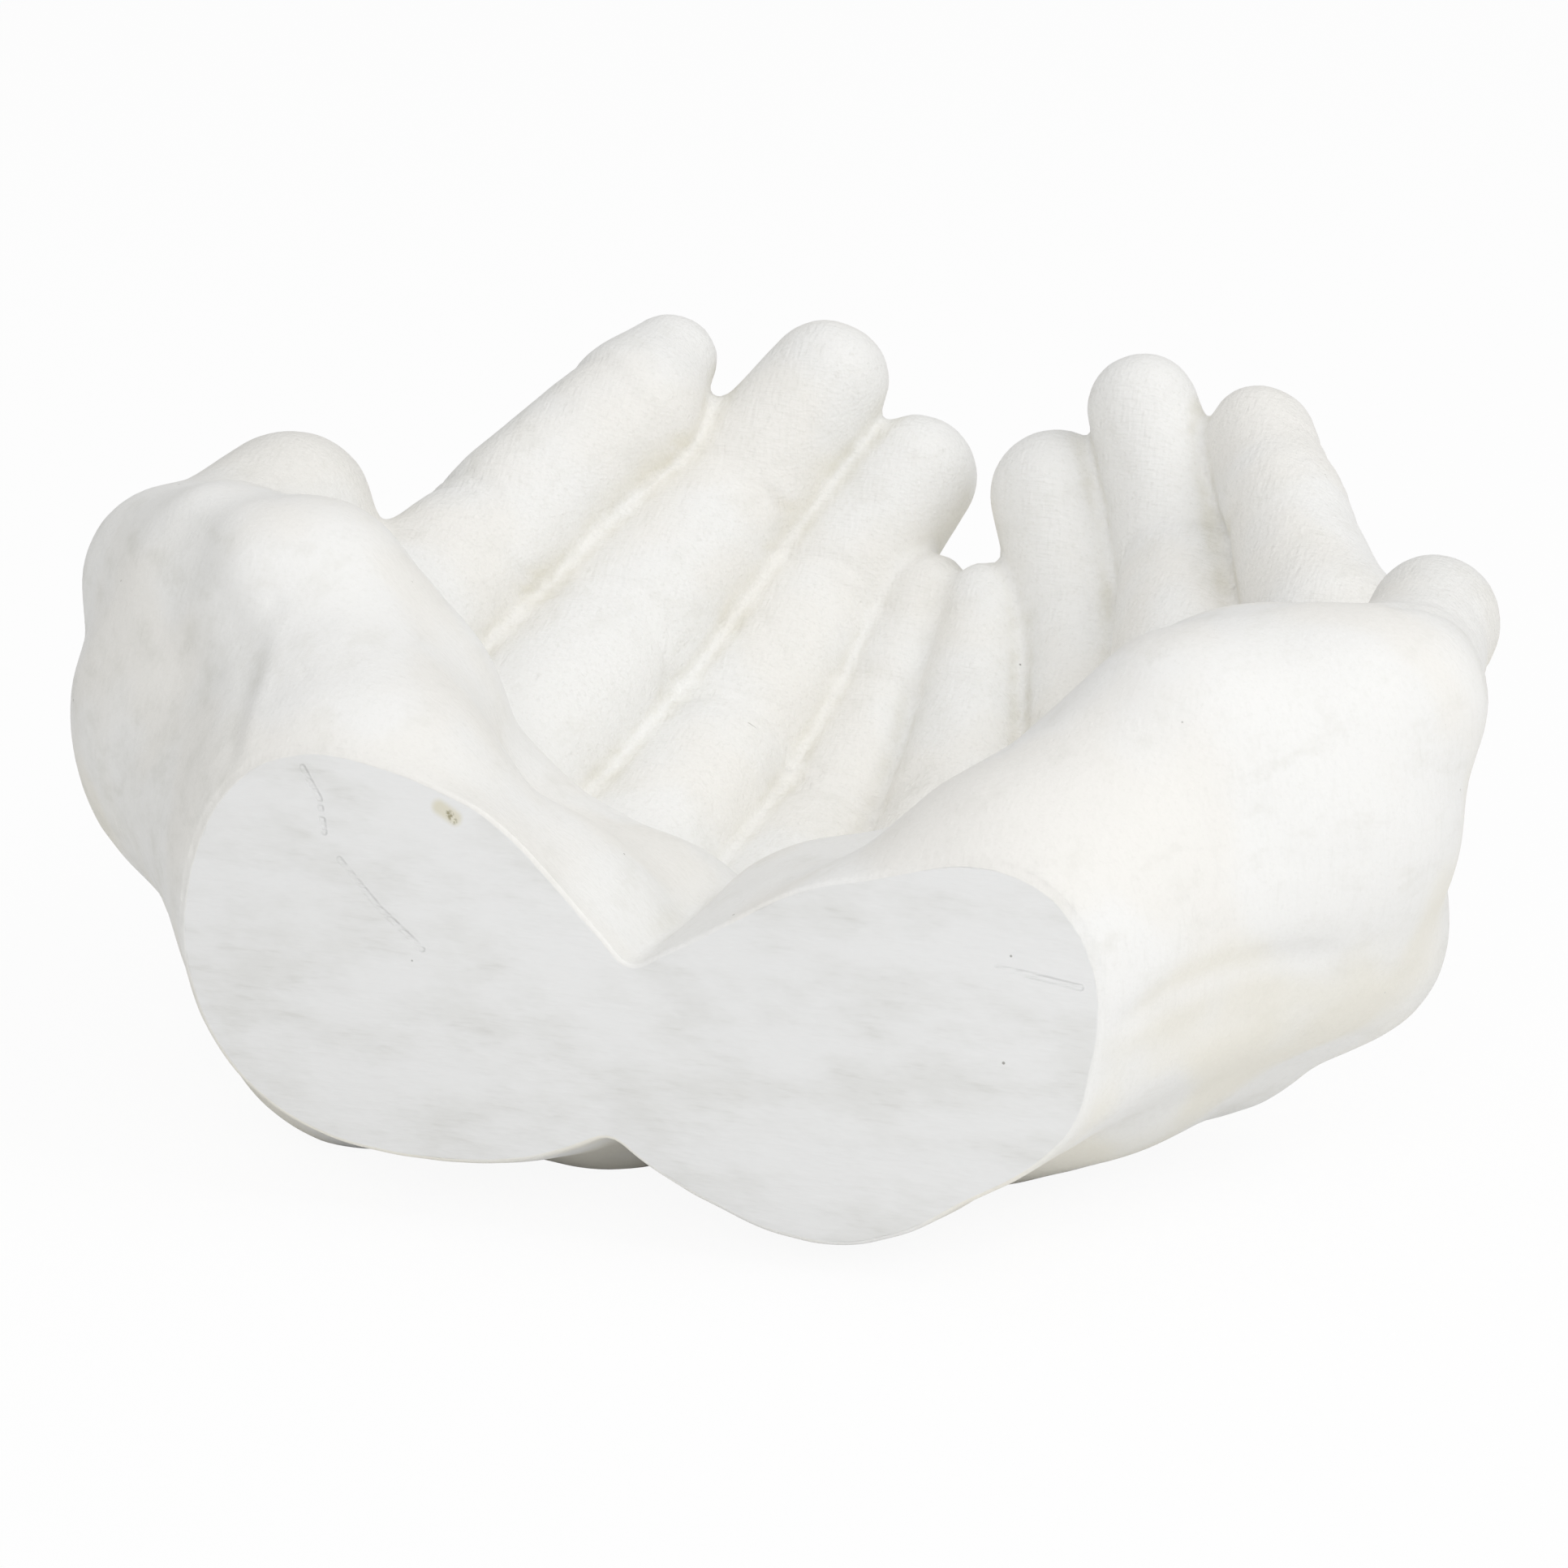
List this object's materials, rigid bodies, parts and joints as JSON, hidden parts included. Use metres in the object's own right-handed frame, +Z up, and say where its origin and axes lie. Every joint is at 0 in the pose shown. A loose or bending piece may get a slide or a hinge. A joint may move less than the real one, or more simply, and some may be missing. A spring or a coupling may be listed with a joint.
{
  "type": "hand-shaped bowl",
  "caption": "Shallow bowl shaped as cupped hands joined along the little fingers, with the wrists cut off flat; holds small things in the palms",
  "frame": {"origin": "on the standing plane, under the middle of the outline", "axes": "+X from the left hand to the right hand as the wrists are seen from the front, +Y from the wrist cuts towards the fingertips, +Z up out of the palms"},
  "size_m": [0.2012, 0.1512, 0.0911],
  "materials": {
    "white_plaster": "matt off-white cast plaster with fine skin lines and pinholes"
  },
  "bodies": {
    "root": {"cupped_hands": "white_plaster"}
  },
  "joints": []
}
